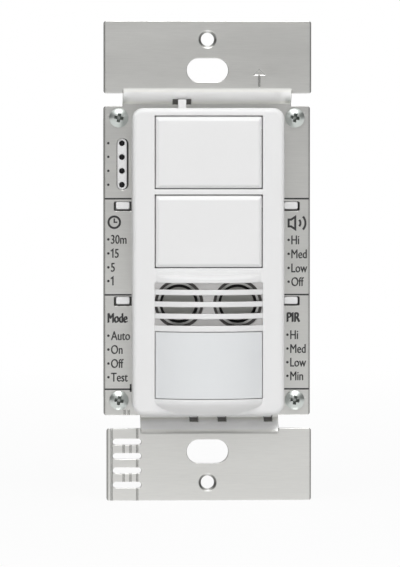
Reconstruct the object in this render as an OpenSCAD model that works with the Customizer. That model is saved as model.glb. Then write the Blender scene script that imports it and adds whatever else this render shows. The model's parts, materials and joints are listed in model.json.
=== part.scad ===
// Motion sensor light switch on a metal mounting strap.
// X runs to the viewer's right, Z up and Y into the wall. The origin is the centre of the
// mounting pattern, on the rear face of the strap's end tabs.

/* [Mounting strap] */
// Width of the end tabs
strap_w = 45.4; // [44:0.1:48]
// Height of the strap from end to end
strap_h = 104.8; // [103:0.1:110]
// Thickness of the strap's sheet
sheet_t = 1.6; // [1.2:0.1:2]
// Depth that the central plate sits behind the end tabs
recess = 3; // [2:0.1:4]
// Radius of the strap's outer corners
strap_corner_r = 0.6; // [0.3:0.1:1]
// Distance between the two wall plate screw holes
plate_hole_spacing = 96.84; // [95:0.01:98]
// Diameter of a wall plate screw hole
plate_hole_d = 2.9; // [2.5:0.1:3.2]
// Diameter of the rolled rim round a wall plate screw hole
plate_hole_rim_d = 3.9; // [3.4:0.1:4.4]
// Depth of the rolled rim
plate_hole_rim_t = 0.5; // [0.2:0.1:0.8]
// Distance between the two box screw slots
box_slot_spacing = 83.34; // [82:0.01:84]
// Width of a box screw slot
box_slot_w = 9.1; // [8:0.1:11]
// Height of a box screw slot
box_slot_h = 5.2; // [4.4:0.1:5.6]
// Height of the tabs' inner edges above and below the centre
tab_edge = 36.6; // [36:0.1:37.4]
// Height of the wings' outer edges above and below the centre
wing_edge = 33.85; // [33.5:0.05:34.1]
// Width of the plate across its wings
wing_w = 45.3; // [44:0.1:47]
// Height over which the sheet steps back to the plate
step_run = 2.2; // [1.8:0.1:2.4]
// Distance that a bend reaches into its tab
bend_in = 1.2; // [0.6:0.1:1.3]
// Width of the strap's rolled side edges
roll_w = 0.45; // [0.2:0.05:0.5]
// Depth of the strap's rolled side edges
roll_d = 0.35; // [0.2:0.05:0.5]
// Width of the upper neck
upper_neck_w = 36.9; // [30:0.1:38]
// Left edge of the lower neck
lower_neck_left = -14.6; // [-17:0.1:-12]
// Right edge of the lower neck
lower_neck_right = 15.6; // [14.6:0.1:18]
// Left edge of the lower tab
lower_tab_left = -22.1; // [-22.7:0.1:-21.6]
// Width of the plate's central opening
plate_open_w = 28.4; // [27:0.1:29]
// Height of the plate's central opening
plate_open_h = 60; // [56:0.5:62]

/* [Break-off slots] */
// Number of break-off slots in the lower tab
break_count = 4; // [1:1:4]
// Distance of the first slot below the centre
break_top = 39.5; // [39:0.1:40]
// Distance from slot to slot
break_pitch = 3.15; // [2.6:0.05:3.2]
// Length of a slot
break_w = 6.26; // [4:0.1:7]
// Height of a slot
break_h = 1.3; // [0.8:0.1:1.6]
// Sideways place of the slots
break_x = -17.63; // [-18:0.1:-16]
// Sideways place of the outer score line on the break-off part
score_outer = -21; // [-21.4:0.1:-20.9]
// Sideways place of the inner score line on the break-off part
score_inner = -15.4; // [-15.5:0.1:-14]
// Width of a stamped line
score_w = 0.3; // [0.2:0.05:0.5]
// Depth of a stamped line
score_depth = 0.15; // [0.05:0.05:0.3]
// Sideways place of the stamped arrow that points up
arrow_x = 11.3; // [9:0.1:15]
// Height of the stamped arrow's foot above the centre
arrow_z = 38; // [37.6:0.1:39]
// Height of the stamped arrow
arrow_h = 3.9; // [3:0.1:5]

/* [Hook slots] */
// Sideways place of the upper hook slot
upper_hook_x = -5.5; // [-10:0.1:10]
// Width of the upper hook slot
upper_hook_w = 4; // [3:0.1:5]
// Height of the upper hook slot's lower edge above the centre
upper_hook_z = 34.2; // [33.9:0.1:34.3]
// Height of the upper hook slot
upper_hook_h = 1.2; // [1:0.1:1.6]
// Sideways place of the left lower hook slot
lower_hook_left = -2.9; // [-8:0.1:-2]
// Sideways place of the middle lower hook slot
lower_hook_mid = 3.3; // [1:0.1:8]
// Sideways place of the right lower hook slot
lower_hook_right = 13.4; // [10:0.1:13.5]
// Width of a lower hook slot
lower_hook_w = 1.8; // [1.2:0.1:2.4]
// Height of a lower hook slot
lower_hook_h = 1.2; // [0.6:0.1:1.2]

/* [Bezel] */
// Width of the bezel
bezel_w = 33; // [32:0.1:34]
// Height of the bezel
bezel_h = 66.8; // [66:0.1:67.4]
// Height of the bezel's face over the central plate
bezel_d = 8.4; // [7.5:0.1:10]
// Radius of the bezel's corners
bezel_corner_r = 2.4; // [1.8:0.1:3]
// Radius of the bezel's front edges
bezel_edge_r = 1.1; // [0.6:0.1:1.4]
// Thickness of the bezel's walls
bezel_wall = 1.8; // [1.4:0.1:2]
// Height of the lip under the bezel
lip_h = 0.7; // [0.4:0.1:0.9]
// Thickness of the lip under the bezel
lip_t = 1; // [0.6:0.1:1.6]
// Width of the bezel's tongue in the upper hook slot
tongue_w = 1.8; // [1:0.1:2]
// Reach of the tongue above the bezel
tongue_h = 1.9; // [1:0.1:1.9]
// Thickness of the tongue
tongue_t = 1.2; // [0.8:0.1:1.4]

/* [Paddles] */
// Width of the openings in the bezel
opening_w = 23.5; // [22:0.1:24]
// Height of a paddle's opening
paddle_open_h = 16; // [15:0.1:16.2]
// Height of the upper opening's top edge above the centre
paddle_top = 31.74; // [31.5:0.01:32]
// Height of the bar between the two openings
paddle_bar = 1.16; // [0.8:0.01:1.4]
// Gap round a paddle
paddle_gap = 0.2; // [0.2:0.05:0.4]
// Distance that a paddle's face stands proud of the bezel
paddle_proud = 0.35; // [0.1:0.05:0.8]
// Thickness of a paddle's face
paddle_face_t = 1.7; // [1.4:0.1:2]
// Thickness of a paddle's side walls
paddle_side_t = 1.2; // [1:0.1:2]
// Slope of a paddle's upper edge, measured down its face
paddle_bevel_top = 0.75; // [0.5:0.05:1.3]
// Slope of a paddle's other edges, measured along its face
paddle_bevel = 0.5; // [0.3:0.05:0.8]
// Radius of a paddle's edges
paddle_edge_r = 0.3; // [0.2:0.05:0.4]
// Distance of the hinge below the opening's top edge
hinge_drop = 1.9; // [1.7:0.1:2.4]
// Distance of the hinge behind the bezel's face
hinge_depth = 3.6; // [3.4:0.1:4]
// Diameter of a hinge pin
hinge_pin_d = 2; // [1.6:0.1:2.2]
// Radial clearance of a hinge pin
hinge_clear = 0.05; // [0.03:0.01:0.1]
// Wall round a hinge pin's bore
hinge_wall = 0.75; // [0.6:0.05:0.8]
// Distance of a plunger above its paddle's lower edge
press_up = 4.3; // [3.5:0.05:6]
// Diameter of a paddle's post
post_d = 3; // [2.4:0.1:3.4]
// Free play between a post and its plunger
post_play = 0.12; // [0.1:0.01:0.2]

/* [Sensor bulge] */
// Distance that the lens stands proud of the bezel's face
bulge = 4.5; // [3.5:0.1:5]
// Distance of the bulge's start below the centre
bulge_start = 2.5; // [2.3:0.1:2.8]
// Height of the brow's flat edge above the grille
brow_edge = 0.35; // [0.2:0.05:0.6]
// Wall of the bulge
bulge_wall = 1.6; // [1.4:0.1:1.8]
// Distance of the grille's top edge below the centre
grille_top = 4.57; // [4.4:0.01:4.8]
// Height of the grille
grille_h = 9.26; // [9:0.01:9.4]
// Amount that the bulge draws in at the grille's top edge
grille_draw = 0.3; // [0.1:0.05:0.5]
// Number of grille bars
bar_count = 3; // [1:1:4]
// Height of a grille bar
bar_h = 1.15; // [0.8:0.05:1.2]
// Depth of a grille bar
bar_t = 1.2; // [0.8:0.1:1.6]
// Distance of the lens opening's top edge below the centre
lens_top = 15.12; // [15:0.01:15.4]
// Height of the lens opening
lens_open_h = 14.7; // [14:0.01:14.9]
// Gap round the lens
lens_gap = 0.15; // [0.1:0.05:0.3]
// Thickness of the lens
lens_t = 0.8; // [0.6:0.1:1]
// Width of the lens's seating flange
lens_flange = 0.6; // [0.4:0.1:0.7]
// Height of the straight edge under the lens
chin_edge = 0.55; // [0.3:0.05:0.8]
// Distance that the chin falls back at its foot
chin_drop = 4.2; // [3:0.1:4.4]

/* [Transducers] */
// Distance between the two transducers
transducer_spacing = 12.8; // [12.6:0.1:13.2]
// Diameter of a hole in the holder
holder_hole_d = 10.72; // [10.4:0.01:10.9]
// Thickness of the holder's panel
holder_t = 1.3; // [1:0.1:1.6]
// Wall of a holder sleeve
sleeve_wall = 0.8; // [0.6:0.1:0.8]
// Length of a holder sleeve
sleeve_l = 5; // [3:0.1:5.5]
// Diameter of a transducer's can
can_d = 9.4; // [9:0.1:10]
// Length of a transducer's can
can_l = 7.1; // [6:0.1:7.4]
// Wall of a transducer's can
can_wall = 0.5; // [0.3:0.05:0.6]
// Distance of the can's rim behind the holder's face
can_sink = 0.6; // [0.2:0.1:1]
// Diameter of a transducer's disc
disc_d = 7.2; // [6:0.1:7.4]
// Distance of the disc behind the can's rim
disc_sink = 0.8; // [0.4:0.1:1.4]
// Thickness of a disc
disc_t = 0.5; // [0.3:0.1:0.8]

/* [Setting buttons and indicator] */
// Distance of the setting buttons from the centre line
setting_x = 18.45; // [18.3:0.05:18.6]
// Height of the upper setting buttons above the centre
setting_upper_z = 12.1; // [11.5:0.1:12.5]
// Distance of the lower setting buttons below the centre
setting_lower_z = 8.7; // [8:0.1:9]
// Width of a setting button
setting_w = 2.93; // [2.6:0.01:3]
// Height of a setting button
setting_h = 1.56; // [1.3:0.01:1.7]
// Corner radius of a setting button
setting_r = 0.35; // [0.2:0.05:0.5]
// Distance that a setting button stands proud of the plate
setting_proud = 0.4; // [0.1:0.1:0.8]
// Gap between a setting button and the plate's opening
setting_gap = 0.42; // [0.3:0.01:0.5]
// Gap above a setting button in the plate's opening
setting_top_gap = 0.12; // [0.1:0.01:0.3]
// Travel of a setting button
setting_travel = 0.4; // [0.2:0.05:0.45]
// Distance of the indicator strip left of the centre line
strip_x = 18.6; // [18.4:0.05:18.7]
// Width of the indicator strip
strip_w = 2.1; // [1.8:0.1:2.3]
// Distance of the strip's face behind the plate's face
strip_sink = 0.3; // [0.2:0.1:0.8]
// Gap round the indicator strip in the plate
strip_gap = 0.2; // [0.2:0.01:0.3]
// Distance that the strip's opening lies right of the strip
strip_shift = 0.14; // [0:0.01:0.14]
// Number of indicators
light_count = 4; // [2:1:4]
// Height of the lowest indicator above the centre
light_low_z = 16.65; // [16:0.05:17]
// Distance from indicator to indicator
light_pitch = 3.03; // [2.6:0.01:3.1]
// Diameter of an indicator's window
light_d = 1.25; // [0.9:0.05:1.3]

/* [Case and screws] */
// Width of the rear housing
case_w = 43.8; // [43.4:0.1:44.4]
// Height of the rear housing
case_h = 67.2; // [66.8:0.1:67.6]
// Depth of the rear housing behind the plate
case_d = 28; // [26:0.5:32]
// Thickness of the rear housing's walls
case_wall = 1.6; // [1.4:0.05:1.7]
// Thickness of the inner cover
cover_t = 1.2; // [1:0.1:1.2]
// Clearance between the case's pieces
case_gap = 0.1; // [0.05:0.05:0.15]
// Thickness of the case's shelves behind the hook slots
shelf_t = 1.6; // [1.2:0.1:2]
// Reach of a shelf past its hook slot
shelf_edge = 1; // [0.6:0.1:1.4]
// Distance of the corner screws from the centre line
corner_screw_x = 19.3; // [19.3:0.05:19.5]
// Height of the upper corner screws above the centre
corner_screw_upper = 31.3; // [31:0.1:31.3]
// Distance of the lower corner screws below the centre
corner_screw_lower = 30.6; // [30.2:0.1:31]
// Diameter of a corner screw's head
corner_head_d = 4.2; // [3.6:0.1:4.6]
// Height of a corner screw's head
corner_head_t = 1.3; // [0.9:0.1:1.6]
// Diameter of a corner screw's shank
corner_shank_d = 2.4; // [2:0.1:2.6]
// Length of a corner screw's shank
corner_shank_l = 12; // [8:0.5:16]
// Clearance round a screw's shank
screw_clear = 0.1; // [0.05:0.05:0.2]
// Wall round a corner screw in the housing
boss_wall = 0.9; // [0.7:0.1:0.9]

/* [Terminals] */
// Distance of the terminals above and below the centre
terminal_z = 16; // [14:0.5:16]
// Width of a terminal's pocket
terminal_w = 8.8; // [8:0.1:9]
// Length of a terminal's pocket
terminal_l = 10; // [9:0.1:10.5]
// Depth of a terminal's pocket
terminal_d = 4.1; // [3.6:0.1:4.3]
// Thickness of a terminal plate
terminal_t = 0.8; // [0.6:0.1:1]
// Diameter of a terminal screw's head
terminal_head_d = 6.8; // [6:0.1:7.2]
// Diameter of a terminal screw's shank
terminal_shank_d = 3.5; // [3:0.1:3.8]
// Sideways place of the ground strap
ground_x = 10; // [6:0.5:14]
// Width of the ground strap
ground_w = 8; // [7:0.5:9]
// Length of the ground strap
ground_l = 17; // [14:0.5:20]

/* [Boards and switches] */
// Distance from the plate's rear face to the control board
control_gap = 4.5; // [4.4:0.1:4.8]
// Thickness of the boards
board_t = 1.6; // [1.2:0.1:1.6]
// Distance between the two boards
board_gap = 3.4; // [3:0.1:4]
// Height of the boards
board_h = 55.2; // [53:0.1:55.2]
// Width of a paddle's switch
switch_w = 6; // [5:0.1:6.4]
// Height of a paddle's switch
switch_h = 3.1; // [2.6:0.1:3.2]
// Diameter of a paddle switch's plunger
plunger_d = 3.4; // [3:0.1:3.6]
// Length of a plunger outside its switch
plunger_out = 1.5; // [1.4:0.1:1.8]
// Length of a plunger inside its switch
plunger_in = 1.1; // [0.8:0.1:1.3]
// Width of a setting button's switch
mini_switch_w = 2.5; // [2.4:0.1:2.6]
// Height of a setting button's switch
mini_switch_h = 2; // [1.8:0.1:2.1]
// Diameter of a setting switch's plunger
mini_plunger_d = 1.7; // [1.5:0.1:1.7]
// Clearance round a plunger
plunger_clear = 0.1; // [0.05:0.01:0.15]
// Diameter of the motion sensor's can
pir_d = 8.2; // [7.6:0.1:8.4]
// Length of the motion sensor's can
pir_l = 4.3; // [3.8:0.1:4.6]
// Height of the spacer under the motion sensor
pir_spacer_l = 2.5; // [2:0.1:3]

/* [Parts on the boards] */
// Gap between the parts on the power board and the terminals
part_gap = 1.1; // [0.6:0.1:1.4]
// Width of a relay
relay_w = 10.2; // [9:0.1:11]
// Length of a relay along the board
relay_l = 20.2; // [18:0.1:21]
// Height of a relay over the board
relay_h = 14.9; // [12:0.1:15]
// Distance of a relay's middle from the centre
relay_z = 13.1; // [12.5:0.1:14]
// Width of the film capacitor
film_w = 8; // [6:0.1:9]
// Length of the film capacitor along the board
film_l = 18; // [14:0.1:19]
// Height of the film capacitor over the board
film_h = 12; // [8:0.1:14]
// Height of the film capacitor's middle above the centre
film_z = 13; // [12:0.1:14]
// Diameter of the storage capacitor
storage_d = 9; // [7:0.1:10]
// Height of the storage capacitor over the board
storage_h = 13; // [10:0.1:15]
// Distance of the storage capacitor below the centre
storage_drop = 6.5; // [6:0.1:7]
// Diameter of the varistor
varistor_d = 9; // [7:0.1:10]
// Thickness of the varistor
varistor_t = 4; // [3:0.1:5]
// Height of the varistor's edge over the board
varistor_lift = 1; // [0.5:0.1:2]
// Diameter of the varistor's leads
lead_d = 0.8; // [0.5:0.1:1]
// Distance between the varistor's leads
lead_apart = 5; // [4:0.1:6]
// Distance of the varistor below the centre
varistor_drop = 19; // [18:0.1:20]
// Diameter of the fuse
fuse_d = 4; // [3:0.1:5]
// Height of the fuse over the board
fuse_h = 8; // [6:0.1:10]
// Distance of the fuse below the centre
fuse_drop = 21; // [19:0.1:22]
// Width of the rectifier
bridge_w = 4; // [3:0.1:4.4]
// Length of the rectifier along the board
bridge_l = 5; // [4:0.1:6]
// Height of the rectifier over the board
bridge_h = 2.6; // [2:0.1:3]
// Side of the microcontroller
chip_w = 9; // [5:0.1:10]
// Height of the microcontroller over the board
chip_h = 1.2; // [0.8:0.1:1.6]
// Sideways place of the microcontroller
chip_x = 4; // [0:0.1:6]
// Height of the microcontroller above the centre
chip_z = 9; // [6:0.1:12]
// Width of the header between the boards
header_w = 2.5; // [2:0.1:3]
// Length of the header along the boards
header_l = 20; // [12:0.5:24]
// Gap between the header and the control board's edge
header_edge = 4.3; // [3:0.1:6]
// Diameter of a transducer's pin
transducer_pin_d = 0.7; // [0.5:0.1:0.9]
// Distance between a transducer's pins
transducer_pin_apart = 5; // [4:0.1:6]
// Thickness of a transducer's base
transducer_base_t = 0.7; // [0.5:0.1:0.9]

/* [Hidden] */
$fn = 48;
cut = 0.5;
tab_front = -sheet_t;
plate_front = recess - sheet_t;
plate_rear = recess;
bezel_front = plate_front - bezel_d;
front_inside = bezel_front + bezel_wall;
bezel_low = -bezel_h / 2;
cavity_w = bezel_w - 2 * bezel_wall;
cavity_h = bezel_h - 2 * bezel_wall;
plate_top = tab_edge - step_run;
mark_apart = 1.5;
arrow_half = 1.3;
notch_left = -18.05;
notch_right = -17.15;
notch_h = 1.2;
hook_gap = 0.1;
hook_root = 0.5;
hook_sink = 1;
hook_reach = 0.3;
chin_steps = 6;
strip_end_share = 0.4;
crown_share = 0.55;
drive_span = 0.62;
drive_depth = 1.2;
drive_arm = 0.27;
drive_foot = 0.25;
screw_turn = 10;
step_count = 12;
roll_turn = 30;

opening_half = opening_w / 2;
paddle_w = opening_w - 2 * paddle_gap;
paddle_h = paddle_open_h - 2 * paddle_gap;
paddle_front = bezel_front - paddle_proud;
upper_top = paddle_top;
lower_top = paddle_top - paddle_open_h - paddle_bar;
hinge_y = bezel_front + hinge_depth;
pin_r = hinge_pin_d / 2;
ear_r = pin_r + hinge_clear + hinge_wall;
ear_gap = 0.4;
ear_from = opening_half + ear_gap;
pin_end_gap = 0.5;
pin_reach = cavity_w / 2 - pin_end_gap;
press_drop = paddle_open_h - paddle_gap - press_up;

axis_y = bezel_front - bulge + (opening_half * opening_half + bulge * bulge) / (2 * bulge);
bulge_r = axis_y - bezel_front + bulge;
brow_steps = 4;
brow_root = 0.15;
brow_lip = 0.04;
brow_end = grille_top - brow_edge;
grille_mid = -grille_top - grille_h / 2;
bar_spread = 1.12;
bar_pitch = grille_h / (bar_count + 1) * bar_spread;
lens_low = lens_top + lens_open_h;
lens_mid = -lens_top - lens_open_h / 2;
lens_play = 0.05;
lens_inner_r = bulge_r - bulge_wall;

control_front = plate_rear + control_gap;
control_rear = control_front + board_t;
power_front = control_rear + board_gap;
power_rear = power_front + board_t;
case_rear = plate_rear + case_d;
case_floor = case_rear - case_wall;
cover_rear = plate_rear + cover_t;
inner_w = case_w - 2 * case_wall;
inner_h = case_h - 2 * case_wall;
board_w = inner_w - 2 * case_gap;
rib_w = 1.8;
rib_h = 3.6;
rib_z = 24.2;
power_w = board_w - 2 * rib_w - 2 * case_gap;
screw_r = corner_shank_d / 2;
boss_r = screw_r + screw_clear + boss_wall;
corner_screws = [
    [-corner_screw_x, corner_screw_upper],
    [corner_screw_x, corner_screw_upper],
    [-corner_screw_x, -corner_screw_lower],
    [corner_screw_x, -corner_screw_lower]
];

switch_front = control_front - switch_h;
plunger_front = switch_front - plunger_out;
mini_front = control_front - mini_switch_h;
flange_play = 0.15;
flange_t = 0.6;
flange_front = cover_rear + flange_play;
flange_rear = flange_front + flange_t;
setting_front = plate_front - setting_proud;
guide_clear = 0.15;

strip_h = (light_count - 1) * light_pitch + strip_w;
strip_mid = light_low_z + (light_count - 1) * light_pitch / 2;
strip_front = plate_front + strip_sink;
led_t = 0.6;
led_gap = 0.8;
strip_rear = control_front - led_t - led_gap;

transducer_x = transducer_spacing / 2;
can_front = front_inside + can_sink;
can_rear = can_front + can_l;
pir_rear = control_front - pir_spacer_l;
pir_front = pir_rear - pir_l;

terminal_block_wall = 1.2;
terminal_block_w = terminal_w + 2 * terminal_block_wall;
terminal_back = 1.5;
terminal_block_d = terminal_d + terminal_back;
terminal_mid = power_rear + terminal_block_wall + terminal_l / 2;
terminal_floor = case_w / 2 - terminal_d;
terminal_head_t = 1.9;
terminal_head_gap = 0.3;
relay_x = terminal_block_d + part_gap + relay_w / 2 - case_w / 2;
film_x = case_w / 2 - terminal_block_d - 2 * part_gap - film_w / 2;

// Extrudes an outline drawn in X and Z from one depth to another.
module slab(front, rear) {
    translate([0, rear, 0])
        rotate([90, 0, 0])
            linear_extrude(rear - front)
                children();
}

// Extrudes an outline drawn in Y and Z from one side to another.
module across(left, right) {
    translate([left, 0, 0])
        rotate([90, 0, 90])
            linear_extrude(right - left)
                children();
}

// A round bar along Y.
module peg(front, rear, r) {
    translate([0, front, 0])
        rotate([-90, 0, 0])
            cylinder(h = rear - front, r = r);
}

// A round bar along X.
module pin(left, right, r) {
    translate([left, 0, 0])
        rotate([0, 90, 0])
            cylinder(h = right - left, r = r);
}

// A box between two corners.
module block(low, high) {
    translate(low)
        cube(high - low);
}

// A rectangle with round corners.
module soft_rect(w, h, r) {
    square([w - 2 * r, h], center = true);
    square([w, h - 2 * r], center = true);
    for (sx = [-1, 1], sz = [-1, 1])
        translate([sx * (w / 2 - r), sz * (h / 2 - r)])
            circle(r);
}

// A slot with round ends, upright or lying.
module pill(w, h) {
    r = min(w, h) / 2;
    square([w > h ? w - 2 * r : w, h > w ? h - 2 * r : h], center = true);
    for (s = [-1, 1])
        translate([w > h ? s * (w / 2 - r) : 0, h > w ? s * (h / 2 - r) : 0])
            circle(r);
}

// Repeats its children at each corner screw.
module at_corner_screws() {
    for (place = corner_screws)
        translate([place[0], 0, place[1]])
            children();
}

// Repeats its children at each setting button.
module at_settings() {
    for (sx = [-1, 1], z = [setting_upper_z, -setting_lower_z])
        translate([sx * setting_x, 0, z])
            children();
}

// Repeats its children at each transducer.
module at_transducers() {
    for (sx = [-1, 1])
        translate([sx * transducer_x, 0, grille_mid])
            children();
}

// Repeats its children at each indicator.
module at_lights() {
    for (i = [0 : light_count - 1])
        translate([-strip_x, 0, light_low_z + i * light_pitch])
            children();
}

// Repeats its children at each paddle's plunger.
module at_plungers() {
    for (top = [upper_top, lower_top])
        translate([0, 0, top - press_drop])
            children();
}

// Repeats its children at each terminal, drawn for the right side.
module at_terminals() {
    for (side = [0, 1], sz = [-1, 1])
        mirror([side, 0, 0])
            translate([0, terminal_mid, sz * terminal_z])
                children();
}

// One end tab, drawn upwards from its inner edge.
module tab_outline(left, right) {
    h = strap_h / 2 - tab_edge;
    translate([(left + right) / 2, tab_edge + h / 2])
        soft_rect(right - left, h, strap_corner_r);
}

// The sheet's step back from a tab to the plate, bent from a little inside the tab's edge.
module step(left, right) {
    rise = [for (i = [0 : step_count]) i / step_count];
    top = tab_edge + bend_in;
    run = step_run + bend_in;
    face = [for (t = rise) [tab_front + recess * (1 - cos(90 * t)), top - t * run]];
    back = [for (t = rise) [recess * (1 - cos(90 * (1 - t))), top - (1 - t) * run]];
    across(left, right)
        polygon([
            [tab_front, top + cut],
            each face,
            each back,
            [0, top + cut]
        ]);
    slab(plate_front, plate_rear)
        translate([left, wing_edge - strap_corner_r])
            square([right - left, plate_top - wing_edge + strap_corner_r]);
}

// The room that a bend takes out of its tab.
module bend_room(left, right) {
    translate([left, tab_edge - cut])
        square([right - left, bend_in + cut]);
}

// The corner that rolls off one upright side edge of the sheet, at a side of the centre.
module rolled_edge(x, side, front, low, high) {
    translate([x, front, low])
        linear_extrude(height = high - low)
            polygon([
                [-side * roll_w, -cut],
                for (turn = [0 : roll_turn : 90]) [side * roll_w * (sin(turn) - 1), roll_d * (1 - cos(turn))],
                [side * cut, roll_d],
                [side * cut, -cut]
            ]);
}

// All the side edges that roll off: upper tab, lower tab and wings.
module rolled_edges() {
    for (side = [-1, 1]) {
        rolled_edge(side * strap_w / 2, side, tab_front, tab_edge - cut, strap_h / 2 + cut);
        rolled_edge(side * wing_w / 2, side, plate_front, -wing_edge - cut, wing_edge + cut);
    }
    rolled_edge(lower_tab_left, -1, tab_front, -strap_h / 2 - cut, -tab_edge + cut);
    rolled_edge(strap_w / 2, 1, tab_front, -strap_h / 2 - cut, -tab_edge + cut);
}

module plate_outline() {
    difference() {
        soft_rect(wing_w, 2 * wing_edge, strap_corner_r);
        square([plate_open_w, plate_open_h], center = true);
    }
}

// Openings in the plate for the setting buttons, running in under the bezel.
module setting_openings() {
    outer = setting_x + setting_w / 2 + setting_gap;
    inner = bezel_w / 2 - setting_gap;
    h = setting_h + setting_gap + setting_top_gap;
    rise = (setting_top_gap - setting_gap) / 2;
    for (side = [0, 1], z = [setting_upper_z, -setting_lower_z])
        mirror([side, 0])
            translate([(inner + outer) / 2, z + rise])
                soft_rect(outer - inner, h, setting_r);
}

// Lines stamped on the strap: scores and marks on the break-off part, an arrow that points up, two notches.
module stamped_lines() {
    half = score_w / 2;
    bed = tab_front + score_depth;
    for (x = [score_outer, score_inner])
        block([x - half, tab_front - cut, -strap_h / 2 - cut], [x + half, bed, -tab_edge + cut]);
    for (i = [0 : 2 : break_count - 2], side = [-1, 1])
        translate([break_x + side * mark_apart / 2, 0, -break_top - i * break_pitch])
            block([-half, tab_front - cut, -break_pitch], [half, bed, 0]);
    slab(tab_front - cut, bed)
        translate([arrow_x, arrow_z])
            polygon([
                [-half, 0],
                [half, 0],
                [half, arrow_h - arrow_half],
                [arrow_half, arrow_h - arrow_half],
                [0, arrow_h],
                [-arrow_half, arrow_h - arrow_half],
                [-half, arrow_h - arrow_half]
            ]);
    for (x = [notch_left, notch_right])
        block(
            [x - half, plate_front - cut, -wing_edge - cut],
            [x + half, plate_front + score_depth, -wing_edge + notch_h]
        );
}

module yoke() color("gainsboro") {
    upper_half = upper_neck_w / 2;
    hook_top = upper_hook_z + upper_hook_h;
    difference() {
        union() {
            slab(tab_front, 0)
                difference() {
                    tab_outline(-strap_w / 2, strap_w / 2);
                    bend_room(-upper_half, upper_half);
                }
            slab(tab_front, 0)
                mirror([0, 1])
                    difference() {
                        tab_outline(lower_tab_left, strap_w / 2);
                        bend_room(lower_neck_left, lower_neck_right);
                    }
            slab(plate_front, plate_rear)
                plate_outline();
            step(-upper_half, upper_half);
            mirror([0, 0, 1])
                step(lower_neck_left, lower_neck_right);
        }
        for (sz = [-1, 1]) {
            translate([0, 0, sz * plate_hole_spacing / 2]) {
                peg(tab_front - cut, cut, plate_hole_d / 2);
                translate([0, tab_front, 0])
                    rotate([-90, 0, 0])
                        cylinder(h = plate_hole_rim_t, r1 = plate_hole_rim_d / 2, r2 = plate_hole_d / 2);
            }
            slab(tab_front - cut, cut)
                translate([0, sz * box_slot_spacing / 2])
                    pill(box_slot_w, box_slot_h);
        }
        for (i = [0 : break_count - 1])
            slab(tab_front - cut, cut)
                translate([break_x, -break_top - i * break_pitch])
                    pill(break_w, break_h);
        block(
            [upper_hook_x - upper_hook_w / 2, tab_front - cut, upper_hook_z],
            [upper_hook_x + upper_hook_w / 2, plate_rear + cut, hook_top]
        );
        for (x = [lower_hook_left, lower_hook_mid, lower_hook_right])
            block(
                [x - lower_hook_w / 2, tab_front - cut, bezel_low - lip_h - lower_hook_h],
                [x + lower_hook_w / 2, plate_rear + cut, bezel_low - lip_h + hook_root]
            );
        stamped_lines();
        rolled_edges();
        slab(plate_front - cut, plate_rear + cut)
            setting_openings();
        slab(plate_front - cut, plate_rear + cut)
            translate([strip_shift - strip_x, strip_mid])
                pill(strip_w + 2 * strip_gap, strip_h + 2 * strip_gap * strip_end_share);
        at_corner_screws()
            peg(plate_front - cut, plate_rear + cut, screw_r + screw_clear);
    }
}

// The bezel's outer block, with round corners and round front edges.
module bezel_block() {
    x = bezel_w / 2 - bezel_corner_r;
    z = bezel_h / 2 - bezel_corner_r;
    hull()
        for (sx = [-1, 1], sz = [-1, 1])
            translate([sx * x, 0, sz * z])
                rotate([-90, 0, 0]) {
                    translate([0, 0, bezel_front + bezel_edge_r])
                        rotate_extrude($fn = 32)
                            translate([bezel_corner_r - bezel_edge_r, 0])
                                circle(bezel_edge_r, $fn = 24);
                    translate([0, 0, plate_front - bezel_edge_r])
                        cylinder(h = bezel_edge_r, r = bezel_corner_r, $fn = 32);
                }
}

// The share of the bulge that the brow reaches at a step, rising as an S.
function brow_share(i) = (1 - cos(180 * i / brow_steps)) / 2;

// The bulge's plan, drawn in to a share of its depth, with a root in the bezel's wall.
module bulge_plan(share) {
    translate([0, bezel_front + brow_root])
        scale([1, max(share, cut)])
            intersection() {
                translate([0, axis_y - bezel_front - brow_root])
                    circle(bulge_r - grille_draw - brow_lip, $fn = 96);
                translate([-opening_half, -bulge - brow_root])
                    square([2 * opening_half, bulge + brow_root]);
            }
    translate([-opening_half, bezel_front + brow_root])
        square([2 * opening_half, bezel_wall / 2]);
}

// The brow that rises from the flat face to the top of the grille.
module brow() {
    for (i = [0 : brow_steps - 1])
        hull()
            for (k = [i, i + 1])
                translate([0, 0, -bulge_start - (brow_end - bulge_start) * k / brow_steps])
                    linear_extrude(height = cut)
                        bulge_plan(brow_share(k));
}

// The sensor bulge below the brow, turned about its upright axis.
module bulge_solid() {
    chin_start = -lens_low - chin_edge;
    chin_run = bezel_h / 2 + chin_start;
    fall = [for (i = [0 : chin_steps]) i / chin_steps];
    chin = [for (t = fall) [bulge_r - chin_drop * t * t, chin_start - chin_run * t]];
    translate([0, axis_y, 0])
        rotate_extrude($fn = 96)
            polygon([
                [0, -brow_end],
                [bulge_r - grille_draw, -brow_end],
                [bulge_r, -grille_top - grille_h],
                each chin,
                [0, bezel_low]
            ]);
}

// A wall of the sensor bulge's curve between two radii and two heights, cut off at a depth.
module arc_wall(inner, outer, low, high, half_w, rear) {
    intersection() {
        translate([0, axis_y, low])
            difference() {
                cylinder(h = high - low, r = outer, $fn = 96);
                translate([0, 0, -cut])
                    cylinder(h = high - low + 2 * cut, r = inner, $fn = 96);
            }
        block([-half_w, axis_y - outer - cut, low - cut], [half_w, rear, high + cut]);
    }
}

// One of the bezel's lower hooks, rooted behind the lip and reaching a little way down its slot.
module lower_hook(x) {
    half = lower_hook_w / 2 - hook_gap;
    edge = bezel_low - lip_h;
    rear = plate_rear - hook_gap;
    block([x - half, plate_front - lip_t / 2, edge], [x + half, rear, edge + hook_root - hook_gap]);
    block([x - half, plate_front + hook_sink, edge - hook_reach], [x + half, rear, edge + cut]);
}

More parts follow.
